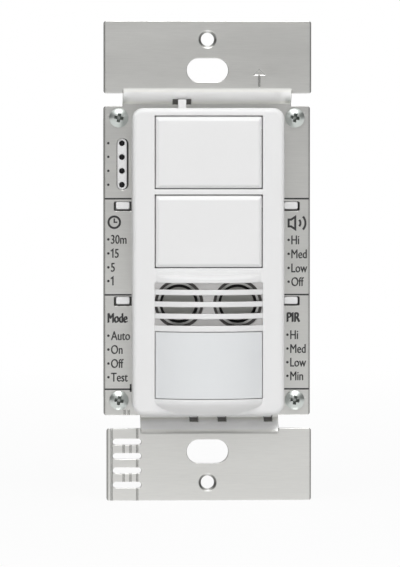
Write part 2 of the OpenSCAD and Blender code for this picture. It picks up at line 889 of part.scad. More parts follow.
// An ear with a bore that carries one hinge pin.
module hinge_ears(top) {
    for (side = [0, 1])
        mirror([side, 0, 0])
            block(
                [ear_from, front_inside - cut, top - hinge_drop - ear_r],
                [cavity_w / 2 + cut, hinge_y + ear_r, top - hinge_drop + ear_r]
            );
}

module bezel() color("white") {
    front_far = bezel_front - bulge - cut;
    bar_low = grille_mid - bar_h / 2;
    difference() {
        union() {
            difference() {
                bezel_block();
                block(
                    [-cavity_w / 2, front_inside, -cavity_h / 2],
                    [cavity_w / 2, plate_front + cut, cavity_h / 2]
                );
            }
            intersection() {
                bulge_solid();
                block(
                    [-cavity_w / 2, front_far, bezel_low],
                    [cavity_w / 2, front_inside, -brow_end]
                );
            }
            brow();
            hinge_ears(upper_top);
            hinge_ears(lower_top);
            for (x = [lower_hook_left, lower_hook_mid, lower_hook_right])
                lower_hook(x);
            block(
                [-bezel_w / 2 + bezel_corner_r, plate_front - lip_t, bezel_low - lip_h],
                [bezel_w / 2 - bezel_corner_r, plate_front, bezel_low + bezel_wall]
            );
            block(
                [upper_hook_x - tongue_w / 2, plate_front - lip_t - tongue_t, bezel_h / 2 - bezel_wall],
                [upper_hook_x + tongue_w / 2, plate_front - lip_t, bezel_h / 2 + tongue_h]
            );
        }
        for (top = [upper_top, lower_top]) {
            block(
                [-opening_half, front_far, top - paddle_open_h],
                [opening_half, front_inside + cut, top]
            );
            translate([0, hinge_y, top - hinge_drop])
                pin(-cavity_w / 2, cavity_w / 2, pin_r + hinge_clear);
        }
        block(
            [-opening_half, front_far, -grille_top - grille_h],
            [opening_half, front_inside + cut, -grille_top]
        );
        block(
            [-opening_half, front_far, -lens_low],
            [opening_half, front_inside + cut, -lens_top]
        );
        intersection() {
            translate([0, axis_y, -lens_low - lens_flange])
                cylinder(h = lens_low + lens_flange - grille_top, r = lens_inner_r, $fn = 96);
            block(
                [-cavity_w / 2, front_far, -lens_low - lens_flange],
                [cavity_w / 2, front_inside + cut, -grille_top]
            );
        }
    }
    for (i = [0 : bar_count - 1])
        translate([0, 0, (i - (bar_count - 1) / 2) * bar_pitch])
            arc_wall(
                bulge_r - grille_draw / 2 - bar_t,
                bulge_r - grille_draw / 2,
                bar_low,
                bar_low + bar_h,
                opening_half + paddle_gap,
                front_inside
            );
}

module lens() color("whitesmoke") {
    half_w = opening_half - lens_gap;
    low = -lens_low + lens_gap;
    high = -lens_top - lens_gap;
    seat_r = lens_inner_r - lens_play;
    rear = front_inside + bezel_wall;
    difference() {
        union() {
            arc_wall(seat_r - lens_t, bulge_r, low, high, half_w, rear);
            arc_wall(
                seat_r - lens_t,
                seat_r,
                -lens_low - lens_flange + lens_play,
                -lens_top + lens_flange - lens_play,
                half_w + lens_flange,
                rear
            );
        }
        intersection() {
            translate([0, axis_y, low + lens_t])
                cylinder(h = high - low - 2 * lens_t, r = bulge_r - lens_t, $fn = 96);
            block([-half_w + lens_t, -bulge_r, low], [half_w - lens_t, axis_y, high]);
        }
    }
}

module transducer_holder() color("gainsboro") {
    half_w = opening_half + bezel_wall;
    half_h = holder_hole_d / 2 + sleeve_wall;
    hole_r = holder_hole_d / 2;
    top = min(grille_mid + half_h, -grille_top + bezel_wall);
    low = max(grille_mid - half_h, -lens_top + lens_flange);
    difference() {
        union() {
            block([-half_w, front_inside, low], [half_w, front_inside + holder_t, top]);
            at_transducers()
                peg(front_inside + holder_t - cut, front_inside + holder_t + sleeve_l, hole_r + sleeve_wall);
        }
        at_transducers()
            peg(front_inside - cut, front_inside + holder_t + sleeve_l + cut, hole_r);
        block(
            [-half_w, front_inside + holder_t, low - 2 * half_h],
            [half_w, front_inside + holder_t + sleeve_l + cut, low]
        );
    }
}

module transducer_cans() color("silver")
    at_transducers()
        difference() {
            peg(can_front, can_rear, can_d / 2);
            peg(can_front - cut, can_rear + cut, can_d / 2 - can_wall);
        }

module transducer_discs() color("gray")
    at_transducers() {
        front = can_front + disc_sink;
        peg(front, front + disc_t, disc_d / 2);
        peg(front + disc_t, can_rear, disc_d / 6);
    }

module transducer_rings() color("dimgray")
    at_transducers()
        difference() {
            peg(can_front + can_sink, front_inside + holder_t + sleeve_l, holder_hole_d / 2);
            peg(can_front, front_inside + holder_t + sleeve_l + cut, can_d / 2);
        }

module transducer_bases() color("black")
    at_transducers() {
        peg(can_rear, can_rear + transducer_base_t, can_d / 2);
        for (sx = [-1, 1])
            translate([sx * transducer_pin_apart / 2, 0, 0])
                peg(can_rear + transducer_base_t, control_front, transducer_pin_d / 2);
    }

module indicator_strip() color("white")
    difference() {
        translate([-strip_x, 0, strip_mid]) {
            slab(strip_front, strip_rear)
                pill(strip_w, strip_h);
            slab(cover_rear, strip_rear)
                soft_rect(strip_w + 2 * guide_clear + flange_t, strip_h + 2 * flange_t, setting_r);
        }
        at_lights()
            peg(strip_front - cut, strip_rear + cut, light_d / 2);
    }

module light_pipes() color("black")
    at_lights() {
        pipe_r = light_d / 2 - case_gap / 2;
        tip = strip_front + pipe_r;
        peg(tip, control_front - led_t, pipe_r);
        translate([0, tip, 0])
            sphere(r = pipe_r);
    }

module indicator_leds() color("khaki")
    at_lights()
        block([-light_d / 2, control_front - led_t, -light_d], [light_d / 2, control_front, light_d]);

module inner_cover() color("dimgray")
    difference() {
        slab(plate_rear, cover_rear)
            square([inner_w - 2 * case_gap, inner_h - 2 * case_gap], center = true);
        at_plungers()
            peg(plate_rear - cut, cover_rear + cut, plunger_d / 2 + plunger_out);
        at_transducers()
            peg(plate_rear - cut, cover_rear + cut, can_d / 2 + sleeve_wall);
        translate([0, 0, lens_mid])
            peg(plate_rear - cut, cover_rear + cut, pir_d / 2 + sleeve_wall);
        at_settings()
            slab(plate_rear - cut, cover_rear + cut)
                square([setting_w + 2 * guide_clear, setting_h + 2 * guide_clear], center = true);
        translate([-strip_x, 0, strip_mid])
            slab(plate_rear - cut, cover_rear + cut)
                pill(strip_w + 2 * case_gap, strip_h + 2 * case_gap);
        at_corner_screws()
            peg(plate_rear - cut, cover_rear + cut, screw_r + screw_clear);
        // Open each screw's hole to the cover's corner, where only a thin rest would stay.
        for (place = corner_screws) {
            corner = [sign(place[0]) * inner_w / 2, sign(place[1]) * inner_h / 2];
            block(
                [min(place[0], corner[0]), plate_rear - cut, min(place[1], corner[1])],
                [max(place[0], corner[0]), cover_rear + cut, max(place[1], corner[1])]
            );
        }
    }

module board(front, w) {
    slab(front, front + board_t)
        square([w, board_h], center = true);
}

module control_board() color("darkgreen")
    board(control_front, board_w);

module power_board() color("darkgreen")
    board(power_front, power_w);

// A component as a box on the rear of a board, at X and Z.
module rear_part(board_rear, place, size) {
    translate([place[0] - size[0] / 2, board_rear, place[1] - size[2] / 2])
        cube(size);
}

module microcontroller() color("black")
    rear_part(control_rear, [chip_x, chip_z], [chip_w, chip_h, chip_w]);

module board_header() color("black")
    rear_part(control_rear, [board_w / 2 - header_edge - header_w / 2, 0], [header_w, board_gap, header_l]);

module button_switches() color("black")
    at_plungers()
        difference() {
            slab(switch_front, control_front)
                square(switch_w, center = true);
            peg(switch_front - cut, control_front - cut, plunger_d / 2 + plunger_clear);
        }

module setting_switches() color("black")
    at_settings()
        difference() {
            slab(mini_front, control_front)
                square(mini_switch_w, center = true);
            peg(mini_front - cut, control_front - cut / 2, mini_plunger_d / 2 + plunger_clear);
        }

module pir_can() color("silver")
    translate([0, 0, lens_mid])
        difference() {
            union() {
                peg(pir_front, pir_rear, pir_d / 2);
                peg(pir_rear - can_wall, pir_rear, pir_d / 2 + can_wall);
            }
            slab(pir_front - cut, pir_front + can_wall)
                square([pir_d / 2, pir_d / 2], center = true);
        }

module pir_window() color("dimgray")
    translate([0, 0, lens_mid])
        slab(pir_front + can_wall / 2, pir_front + can_wall)
            square([pir_d / 2, pir_d / 2], center = true);

module pir_spacer() color("black")
    translate([0, 0, lens_mid])
        peg(pir_rear, control_front, pir_d / 2);

module relay(z) {
    rear_part(power_rear, [relay_x, z], [relay_w, relay_h, relay_l]);
}

module relay_upper() color("black")
    relay(relay_z);

module relay_lower() color("black")
    relay(-relay_z);

module film_capacitor() color("goldenrod")
    rear_part(power_rear, [film_x, film_z], [film_w, film_h, film_l]);

module storage_capacitor() color("navy")
    translate([film_x, 0, -storage_drop])
        peg(power_rear, power_rear + storage_h, storage_d / 2);

module varistor() color("royalblue")
    translate([film_x - varistor_t / 2, power_rear, -varistor_drop]) {
        translate([0, varistor_lift + varistor_d / 2, 0])
            pin(0, varistor_t, varistor_d / 2);
        for (sz = [-1, 1])
            translate([varistor_t / 2, 0, sz * lead_apart / 2])
                peg(0, varistor_lift + varistor_d / 2, lead_d / 2);
    }

module fuse() color("tan")
    translate([0, 0, -fuse_drop])
        peg(power_rear, power_rear + fuse_h, fuse_d / 2);

module bridge_rectifier() color("black")
    rear_part(power_rear, [0, 0], [bridge_w, bridge_h, bridge_l]);

// The case's outer form, which its corner bosses stay inside.
module case_block() {
    slab(plate_rear, case_rear)
        soft_rect(case_w, case_h, bezel_corner_r);
}

// Shelves on the case that close the strap's hook slots from behind.
module hook_shelves() {
    upper_reach = upper_hook_w / 2 + shelf_edge;
    lower_reach = lower_hook_w / 2 + shelf_edge;
    block(
        [upper_hook_x - upper_reach, plate_rear, case_h / 2 - case_wall],
        [upper_hook_x + upper_reach, plate_rear + shelf_t, upper_hook_z + upper_hook_h + shelf_edge]
    );
    block(
        [lower_hook_left - lower_reach, plate_rear, bezel_low - lip_h - lower_hook_h - shelf_edge],
        [lower_hook_right + lower_reach, plate_rear + shelf_t, case_wall - case_h / 2]
    );
}

module rear_housing() color("dimgray") {
    difference() {
        union() {
            difference() {
                case_block();
                slab(plate_rear - cut, case_floor)
                    square([inner_w, inner_h], center = true);
            }
            intersection() {
                at_corner_screws()
                    peg(cover_rear, case_floor + cut, boss_r);
                case_block();
            }
            hook_shelves();
            for (side = [0, 1], sz = [-1, 1])
                mirror([side, 0, 0])
                    block(
                        [inner_w / 2 - rib_w, control_rear, sz * rib_z - rib_h / 2],
                        [inner_w / 2 + cut, case_floor + cut, sz * rib_z + rib_h / 2]
                    );
            at_terminals()
                block(
                    [case_w / 2 - terminal_block_d, power_rear - terminal_mid, -terminal_block_w / 2],
                    [case_w / 2, terminal_l / 2 + terminal_block_wall, terminal_block_w / 2]
                );
        }
        at_terminals() {
            block(
                [terminal_floor, -terminal_l / 2, -terminal_w / 2],
                [case_w / 2 + cut, terminal_l / 2, terminal_w / 2]
            );
            pin(case_w / 2 - terminal_block_d - cut, terminal_floor + cut, terminal_shank_d / 2 + screw_clear);
        }
        at_corner_screws()
            peg(plate_rear - cut, plate_rear + corner_shank_l, screw_r + screw_clear / 2);
        translate([ground_x, plate_rear + ground_l - ground_w / 2, case_h / 2 - case_wall - cut])
            cylinder(h = case_wall + 2 * cut, r = terminal_shank_d / 2 + screw_clear);
        at_settings()
            slab(plate_rear - cut, control_front)
                square(max(setting_w + guide_clear, setting_h + 2 * flange_t) + 2 * case_gap, center = true);
        translate([-strip_x, 0, strip_mid])
            slab(plate_rear - cut, control_front)
                pill(strip_w + 2 * guide_clear + flange_t + 2 * case_gap, strip_h + 2 * flange_t + 2 * case_gap);
    }
}

// A cross recess with slanting ends, cut from the front face of a screw head.
module cross_recess(span, depth) {
    arm = span * drive_arm;
    foot = span * drive_foot / 2;
    for (turn = [0, 90])
        rotate([0, 0, turn])
            translate([0, arm / 2, 0])
                rotate([90, 0, 0])
                    linear_extrude(height = arm)
                        polygon([[-span / 2, -cut], [span / 2, -cut], [foot, depth], [-foot, depth]]);
}

// A pan head screw along Z, its domed head's face at the origin and its shank upwards.
module pan_screw(head_d, head_t, shank_d, shank_l) {
    r = head_d / 2;
    crown = head_t * crown_share;
    dome_r = (r * r + crown * crown) / (2 * crown);
    difference() {
        union() {
            intersection() {
                cylinder(h = head_t, r = r);
                translate([0, 0, dome_r])
                    sphere(r = dome_r);
            }
            translate([0, 0, head_t])
                cylinder(h = shank_l, r = shank_d / 2);
        }
        cross_recess(head_d * drive_span, head_t * drive_depth);
    }
}

module housing_screws() color("silver")
    at_corner_screws()
        translate([0, plate_front - corner_head_t, 0])
            rotate([-90, 0, 0])
                rotate([0, 0, screw_turn])
                    pan_screw(corner_head_d, corner_head_t, corner_shank_d, corner_shank_l - sheet_t);

module terminal_plates() color("goldenrod")
    at_terminals()
        difference() {
            block(
                [terminal_floor, -terminal_l / 2 + case_gap, -terminal_w / 2 + case_gap],
                [terminal_floor + terminal_t, terminal_l / 2 - case_gap, terminal_w / 2 - case_gap]
            );
            pin(terminal_floor - cut, terminal_floor + terminal_t + cut, terminal_shank_d / 2 + screw_clear / 2);
        }

module terminal_screws() color("goldenrod")
    at_terminals()
        translate([case_w / 2 - terminal_head_gap, 0, 0])
            rotate([0, -90, 0])
                pan_screw(terminal_head_d, terminal_head_t, terminal_shank_d, terminal_d - terminal_head_t);

module ground_strap() color("silver")
    difference() {
        block(
            [ground_x - ground_w / 2, plate_rear, case_h / 2],
            [ground_x + ground_w / 2, plate_rear + ground_l, case_h / 2 + terminal_t]
        );
        translate([ground_x, plate_rear + ground_l - ground_w / 2, case_h / 2 - cut])
            cylinder(h = terminal_t + 2 * cut, r = terminal_shank_d / 2 + screw_clear / 2);
    }

module ground_screw() color("seagreen")
    translate([ground_x, plate_rear + ground_l - ground_w / 2, case_h / 2 + terminal_t + terminal_head_t])
        mirror([0, 0, 1])
            pan_screw(terminal_head_d, terminal_head_t, terminal_shank_d, terminal_t + case_wall);

// One paddle, drawn with its opening's top edge at zero height.
module paddle() {
    top = -paddle_gap;
    low = top - paddle_h;
    half_w = paddle_w / 2;
    inside = paddle_front + paddle_face_t;
    wall_rear = hinge_y + pin_r;
    r = paddle_edge_r;
    hull() {
        for (sx = [-1, 1]) {
            translate([sx * (half_w - paddle_bevel - r), paddle_front + r, top - paddle_bevel_top - r])
                sphere(r, $fn = 24);
            translate([sx * (half_w - paddle_bevel - r), paddle_front + r, low + paddle_bevel + r])
                sphere(r, $fn = 24);
            for (z = [top - r, low + r])
                translate([sx * (half_w - r), 0, z])
                    peg(paddle_front + 2 * r, inside, r, $fn = 24);
        }
    }
    difference() {
        block([-half_w, inside - r, low], [half_w, wall_rear, top]);
        block(
            [-half_w + paddle_side_t, inside - cut, low + paddle_side_t],
            [half_w - paddle_side_t, wall_rear + cut, top - paddle_side_t]
        );
    }
    for (side = [0, 1])
        mirror([side, 0, 0])
            translate([0, hinge_y, -hinge_drop])
                pin(half_w - paddle_side_t, pin_reach, pin_r);
    translate([0, 0, -press_drop])
        peg(inside - r, plunger_front - post_play, post_d / 2);
}

module upper_button() color("white")
    translate([0, 0, upper_top])
        paddle();

module lower_button() color("white")
    translate([0, 0, lower_top])
        paddle();

module paddle_plunger(top) {
    translate([0, 0, top - press_drop])
        peg(plunger_front, switch_front + plunger_in, plunger_d / 2);
}

module upper_plunger() color("black")
    paddle_plunger(upper_top);

module lower_plunger() color("black")
    paddle_plunger(lower_top);

// One setting button, drawn at its own centre.
module setting_cap() {
    slab(setting_front, flange_rear)
        soft_rect(setting_w, setting_h, setting_r);
    slab(flange_front, flange_rear)
        square([setting_w + guide_clear, setting_h + 2 * flange_t], center = true);
}

// The plunger between a setting button and its switch.
module setting_plunger() {
    peg(flange_rear, control_front - cut / 2 - setting_travel - plunger_clear, mini_plunger_d / 2);
}

module at_setting(side, z) {
    translate([side * setting_x, 0, z])
        children();
}

module timer_button() color("white")
    at_setting(-1, setting_upper_z)
        setting_cap();

module sound_button() color("white")
    at_setting(1, setting_upper_z)
        setting_cap();

module mode_button() color("white")
    at_setting(-1, -setting_lower_z)
        setting_cap();

module motion_button() color("white")
    at_setting(1, -setting_lower_z)
        setting_cap();

module timer_plunger() color("black")
    at_setting(-1, setting_upper_z)
        setting_plunger();

module sound_plunger() color("black")
    at_setting(1, setting_upper_z)
        setting_plunger();

module mode_plunger() color("black")
    at_setting(-1, -setting_lower_z)
        setting_plunger();

module motion_plunger() color("black")
    at_setting(1, -setting_lower_z)
        setting_plunger();

yoke();
bezel();
lens();
transducer_holder();
transducer_cans();
transducer_discs();
transducer_rings();
transducer_bases();
indicator_strip();
light_pipes();
indicator_leds();
inner_cover();
control_board();
microcontroller();
button_switches();
setting_switches();
pir_can();
pir_window();
pir_spacer();
board_header();
power_board();
relay_upper();
relay_lower();
film_capacitor();
storage_capacitor();
varistor();
fuse();
bridge_rectifier();
rear_housing();
housing_screws();
terminal_plates();
terminal_screws();
ground_strap();
ground_screw();
upper_button();
lower_button();
upper_plunger();
lower_plunger();
timer_button();
sound_button();
mode_button();
motion_button();
timer_plunger();
sound_plunger();
mode_plunger();
motion_plunger();
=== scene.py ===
# %% [markdown]
# This lesson dresses a wall mounted motion sensor switch. The solids were made elsewhere and come in as a
# fixed frame, with one object for each piece and one empty for each body that moves. Nothing that comes in
# is moved or reshaped here. We add finishes, printed legends, a camera, lights and a floor.

# %% Load the frame
import json
import math

import bmesh
import bpy
from mathutils import Matrix, Vector

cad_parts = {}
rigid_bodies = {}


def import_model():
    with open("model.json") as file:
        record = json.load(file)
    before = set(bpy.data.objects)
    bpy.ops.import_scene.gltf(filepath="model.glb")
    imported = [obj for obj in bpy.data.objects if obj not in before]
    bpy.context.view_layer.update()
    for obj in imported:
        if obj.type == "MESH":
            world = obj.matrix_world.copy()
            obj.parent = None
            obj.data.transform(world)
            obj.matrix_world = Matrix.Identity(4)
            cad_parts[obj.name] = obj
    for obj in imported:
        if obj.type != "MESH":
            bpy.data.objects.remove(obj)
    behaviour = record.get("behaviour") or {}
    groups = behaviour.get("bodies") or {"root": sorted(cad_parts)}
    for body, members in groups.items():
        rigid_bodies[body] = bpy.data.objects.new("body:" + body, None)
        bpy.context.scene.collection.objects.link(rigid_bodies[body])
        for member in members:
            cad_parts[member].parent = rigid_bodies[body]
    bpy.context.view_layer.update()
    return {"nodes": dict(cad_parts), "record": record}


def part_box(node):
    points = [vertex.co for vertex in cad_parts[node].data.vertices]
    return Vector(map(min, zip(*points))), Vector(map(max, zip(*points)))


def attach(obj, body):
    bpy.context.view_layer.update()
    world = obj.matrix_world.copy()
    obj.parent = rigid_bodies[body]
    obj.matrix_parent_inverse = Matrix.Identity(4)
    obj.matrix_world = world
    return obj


for startup_object in list(bpy.data.objects):
    bpy.data.objects.remove(startup_object)

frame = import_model()
print("nodes loaded:", len(frame["nodes"]))

# %% [markdown]
# Blender works in metres and this switch is as small as a hand, so sizes below are written in millimetres
# and multiplied by MM. Places come from the boxes of the solids wherever something lines up with them. The
# rear of the strap's tabs lies at zero in Y, so the sheet is as thick as the tabs reach forward, and the face
# of the recessed plate lies one sheet in front of the strap's rearmost point.

# %% Units and places
MM = 0.001
strap_low, strap_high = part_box("yoke")
sheet = -strap_low.y
plate_face = strap_high.y - sheet
strap_edge = strap_high.x
bezel_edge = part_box("bezel")[1].x
print("sheet:", round(sheet / MM, 2), "mm, plate face at", round(plate_face / MM, 2), "mm")

# %% [markdown]
# Product photographs of small things are taken from far off with a long lens, so that edges stay parallel.
# We put the camera a metre away, slightly to the left and above, and pick the lens so that one pixel is as
# large as it is in the photograph. The aim is worked out from where the strap's middle lies in the image.

# %% Camera
IMAGE_W, IMAGE_H = 400, 567
PIXEL = 0.2189 * MM
STRAP_MIDDLE_PX = (207.2, 260.9)
CAMERA_DISTANCE = 1.0
CAMERA_LEFT = math.radians(2.8)
CAMERA_UP = math.radians(1.7)
SENSOR = 36

aim = Vector((
    (IMAGE_W / 2 - STRAP_MIDDLE_PX[0]) * PIXEL,
    0,
    (STRAP_MIDDLE_PX[1] - IMAGE_H / 2) * PIXEL,
))
towards_camera = Vector((
    -math.sin(CAMERA_LEFT) * math.cos(CAMERA_UP),
    -math.cos(CAMERA_LEFT) * math.cos(CAMERA_UP),
    math.sin(CAMERA_UP),
))
camera_data = bpy.data.cameras.new("camera")
camera_data.sensor_fit = "VERTICAL"
camera_data.sensor_width = SENSOR
camera_data.sensor_height = SENSOR
camera_data.lens = SENSOR * CAMERA_DISTANCE / (IMAGE_H * PIXEL)
camera_data.clip_end = 20
camera = bpy.data.objects.new("camera", camera_data)
camera.location = aim + towards_camera * CAMERA_DISTANCE
camera.rotation_euler = (-towards_camera).to_track_quat("-Z", "Y").to_euler()
bpy.context.scene.collection.objects.link(camera)
bpy.context.scene.camera = camera
bpy.context.scene.view_settings.view_transform = "Standard"
print("lens:", round(camera_data.lens), "mm")

# %% [markdown]
# Node trees are long to write by hand, so a few small helpers keep the cells short. They add a node and set
# its inputs, link two sockets, start a material whose only shader is the Principled BSDF, do one sum, and
# start a node group with named inputs and outputs.

# %% Node helpers
def add_node(tree, kind, **inputs):
    node = tree.nodes.new(kind)
    for name, value in inputs.items():
        node.inputs[name.replace("_", " ")].default_value = value
    return node


def link(tree, start, end):
    tree.links.new(start, end)


def start_material(name):
    material = bpy.data.materials.new(name)
    material.use_nodes = True
    shader = material.node_tree.nodes["Principled BSDF"]
    return material, material.node_tree, shader


def maths(tree, operation, first, second):
    node = tree.nodes.new("ShaderNodeMath")
    node.operation = operation
    for socket, value in zip(node.inputs, (first, second)):
        if isinstance(value, (int, float)):
            socket.default_value = value
        else:
            tree.links.new(value, socket)
    return node.outputs[0]


def start_group(name, inputs, outputs):
    group = bpy.data.node_groups.new(name, "ShaderNodeTree")
    for label, kind, value in inputs:
        socket = group.interface.new_socket(label, in_out="INPUT", socket_type=kind)
        socket.default_value = value
    for label, kind in outputs:
        group.interface.new_socket(label, in_out="OUTPUT", socket_type=kind)
    return group, group.nodes.new("NodeGroupInput"), group.nodes.new("NodeGroupOutput")


FLOAT = "NodeSocketFloat"
COLOUR = "NodeSocketColor"
VECTOR = "NodeSocketVector"
print("helpers ready")

# %% [markdown]
# Every surface of a real part varies a little: moulded plastic has a fine grain from its steel mould and
# slow changes of tone where it cooled, and rolled sheet has streaks along the rolling direction. One node
# group gives both. It takes a colour, the size of the grain along each axis and how strong the tone and
# the roughness vary, and it puts out a colour, a roughness and a height for a Bump node.

# %% Grain group
grain, grain_in, grain_out = start_group(
    "surface_grain",
    [
        ("Colour", COLOUR, (0.8, 0.8, 0.8, 1)),
        ("Roughness", FLOAT, 0.4),
        ("Grain scale", VECTOR, (3000, 3000, 3000)),
        ("Tone scale", VECTOR, (80, 80, 80)),
        ("Tone", FLOAT, 0.04),
        ("Gloss change", FLOAT, 0.1),
    ],
    [("Colour", COLOUR), ("Roughness", FLOAT), ("Height", FLOAT)],
)
place = add_node(grain, "ShaderNodeTexCoord")


def scaled_noise(scale_socket, detail):
    scaled = grain.nodes.new("ShaderNodeVectorMath")
    scaled.operation = "MULTIPLY"
    link(grain, place.outputs["Object"], scaled.inputs[0])
    link(grain, grain_in.outputs[scale_socket], scaled.inputs[1])
    noise = add_node(grain, "ShaderNodeTexNoise", Scale=1, Detail=detail, Roughness=0.55)
    link(grain, scaled.outputs[0], noise.inputs["Vector"])
    return maths(grain, "SUBTRACT", noise.outputs["Fac"], 0.5)


fine = scaled_noise("Grain scale", 2)
slow = scaled_noise("Tone scale", 3)
both = maths(grain, "ADD", fine, slow)
change = maths(grain, "MULTIPLY", both, grain_in.outputs["Tone"])
brightness = maths(grain, "ADD", change, 1)
toned = grain.nodes.new("ShaderNodeVectorMath")
toned.operation = "SCALE"
link(grain, grain_in.outputs["Colour"], toned.inputs[0])
link(grain, brightness, toned.inputs["Scale"])
link(grain, toned.outputs[0], grain_out.inputs["Colour"])
gloss = maths(grain, "MULTIPLY", both, grain_in.outputs["Gloss change"])
link(grain, maths(grain, "ADD", gloss, grain_in.outputs["Roughness"]), grain_out.inputs["Roughness"])
link(grain, fine, grain_out.inputs["Height"])
print("group made:", grain.name)

# %% [markdown]
# No moulded or stamped edge is perfectly sharp. The Bevel node finds edges while rendering and bends the
# normal there, so edges catch a thin line of light. The group also puts out a mask of those edges, which a
# finish may use for the rubbed, slightly brighter line along corners.

# %% Soft edge group
EDGE_SAMPLES = 6
soft_edge, edge_in, edge_out = start_group(
    "soft_edge",
    [("Radius", FLOAT, 0.1 * MM)],
    [("Normal", VECTOR), ("Edge", FLOAT)],
)
bevel = soft_edge.nodes.new("ShaderNodeBevel")
bevel.samples = EDGE_SAMPLES
link(soft_edge, edge_in.outputs["Radius"], bevel.inputs["Radius"])
true_normal = soft_edge.nodes.new("ShaderNodeNewGeometry")
likeness = soft_edge.nodes.new("ShaderNodeVectorMath")
likeness.operation = "DOT_PRODUCT"
link(soft_edge, bevel.outputs["Normal"], likeness.inputs[0])
link(soft_edge, true_normal.outputs["Normal"], likeness.inputs[1])
link(soft_edge, bevel.outputs["Normal"], edge_out.inputs["Normal"])
link(soft_edge, maths(soft_edge, "SUBTRACT", 1, likeness.outputs["Value"]), edge_out.inputs["Edge"])
print("group made:", soft_edge.name)

# %% [markdown]
# Stamped lines and the cross in a screw head are darkened with painted shade. The Ambient Occlusion node
# tells how closed in a point is. This group turns that into a mask for painted shade, and it looks at the
# piece alone, so that a neighbour which moves leaves no painted shade on it.

# %% Hollow group
HOLLOW_SAMPLES = 8
hollow, hollow_in, hollow_out = start_group(
    "hollow_shade",
    [("Reach", FLOAT, 0.5 * MM)],
    [("Mask", FLOAT)],
)
shelter = hollow.nodes.new("ShaderNodeAmbientOcclusion")
shelter.samples = HOLLOW_SAMPLES
shelter.only_local = True
link(hollow, hollow_in.outputs["Reach"], shelter.inputs["Distance"])
link(hollow, maths(hollow, "SUBTRACT", 1, shelter.outputs["AO"]), hollow_out.inputs["Mask"])
print("group made:", hollow.name)

# %% [markdown]
# A finish joins the groups to one shader. Its numbers are chosen piece by piece below: the colour of the
# material itself, how rough it is, the grain, how deep the grain lies, and how much painted shade darkens its
# hollows.

# %% Finish recipe
BUMP_STRENGTH = 0.5


def scale_colour(tree, colour, factor):
    scaled = tree.nodes.new("ShaderNodeVectorMath")
    scaled.operation = "SCALE"
    link(tree, colour, scaled.inputs[0])
    link(tree, factor, scaled.inputs["Scale"])
    return scaled.outputs[0]


def make_finish(name, colour, roughness, metallic=0, grain_scale=(3000, 3000, 3000), tone=0.04,
                tone_scale=(80, 80, 80), gloss_change=0.1, depth=0.004, edge=0.12, edge_gain=0, hollow_painted_shade=0):
    material, tree, shader = start_material(name)
    shader.inputs["Metallic"].default_value = metallic
    surface = tree.nodes.new("ShaderNodeGroup")
    surface.node_tree = grain
    surface.inputs["Colour"].default_value = (*colour, 1)
    surface.inputs["Roughness"].default_value = roughness
    surface.inputs["Grain scale"].default_value = grain_scale
    surface.inputs["Tone scale"].default_value = tone_scale
    surface.inputs["Tone"].default_value = tone
    surface.inputs["Gloss change"].default_value = gloss_change
    edges = tree.nodes.new("ShaderNodeGroup")
    edges.node_tree = soft_edge
    edges.inputs["Radius"].default_value = edge * MM
    bump = tree.nodes.new("ShaderNodeBump")
    bump.inputs["Strength"].default_value = BUMP_STRENGTH
    bump.inputs["Distance"].default_value = depth * MM
    link(tree, surface.outputs["Height"], bump.inputs["Height"])
    link(tree, edges.outputs["Normal"], bump.inputs["Normal"])
    link(tree, bump.outputs["Normal"], shader.inputs["Normal"])
    link(tree, surface.outputs["Roughness"], shader.inputs["Roughness"])
    tint = surface.outputs["Colour"]
    if edge_gain:
        rub = maths(tree, "MULTIPLY", edges.outputs["Edge"], edge_gain)
        tint = scale_colour(tree, tint, maths(tree, "ADD", rub, 1))
    # Painted shade: the colour is darkened where the hollow mask finds a closed in point.
    if hollow_painted_shade:
        hollows = tree.nodes.new("ShaderNodeGroup")
        hollows.node_tree = hollow
        painted_shade_amount = maths(tree, "MULTIPLY", hollows.outputs["Mask"], hollow_painted_shade)
        tint = scale_colour(tree, tint, maths(tree, "SUBTRACT", 1, painted_shade_amount))
    link(tree, tint, shader.inputs["Base Color"])
    return material, shader


finishes = {}
print("recipe ready")

# %% [markdown]
# The strap is aluminium sheet, rolled, stamped and left bare. Its streaks run along the rolling direction, so
# the grain is long in X and short in Z. Painted shade darkens the colour where the rounded normal turns to
# the side, which draws dark lines down the upright sides. A painted highlight makes faces that turn up or
# down a little lighter, so the bends look bright. Painted shade makes the recessed middle plate darker than
# the end tabs, and painted shade darkens its stamped hollows.

# %% Strap
# Painted shade on the side edges, a painted highlight on the bends and painted shade on the middle plate.
SIDE_PAINTED_SHADE = 0.35
BEND_PAINTED_HIGHLIGHT = 1.24
PLATE_PAINTED_SHADE = 0.9

finishes["strap_aluminium"], strap_shader = make_finish(
    "strap_aluminium", (0.86, 0.857, 0.828), 0.36, metallic=0.95, grain_scale=(250, 2500, 3500), tone=0.1,
    tone_scale=(20, 120, 160), gloss_change=0.12, depth=0.003, edge=0.25, hollow_painted_shade=0.3)
strap_tree = finishes["strap_aluminium"].node_tree
rounding = next(node for node in strap_tree.nodes if node.type == "GROUP" and node.node_tree == soft_edge)
turned = strap_tree.nodes.new("ShaderNodeSeparateXYZ")
link(strap_tree, rounding.outputs["Normal"], turned.inputs[0])
# Painted shade where the rounded normal turns to the side.
side_shade = add_node(strap_tree, "ShaderNodeMapRange", From_Min=0.08, From_Max=0.5, To_Min=1, To_Max=SIDE_PAINTED_SHADE)
link(strap_tree, maths(strap_tree, "ABSOLUTE", turned.outputs["X"], 0), side_shade.inputs["Value"])
# Painted highlight where the rounded normal turns up or down.
bend_highlight = add_node(strap_tree, "ShaderNodeMapRange", From_Min=0.1, From_Max=0.6, To_Min=1, To_Max=BEND_PAINTED_HIGHLIGHT)
link(strap_tree, maths(strap_tree, "ABSOLUTE", turned.outputs["Z"], 0), bend_highlight.inputs["Value"])
shade = maths(strap_tree, "MULTIPLY", side_shade.outputs[0], bend_highlight.outputs[0])
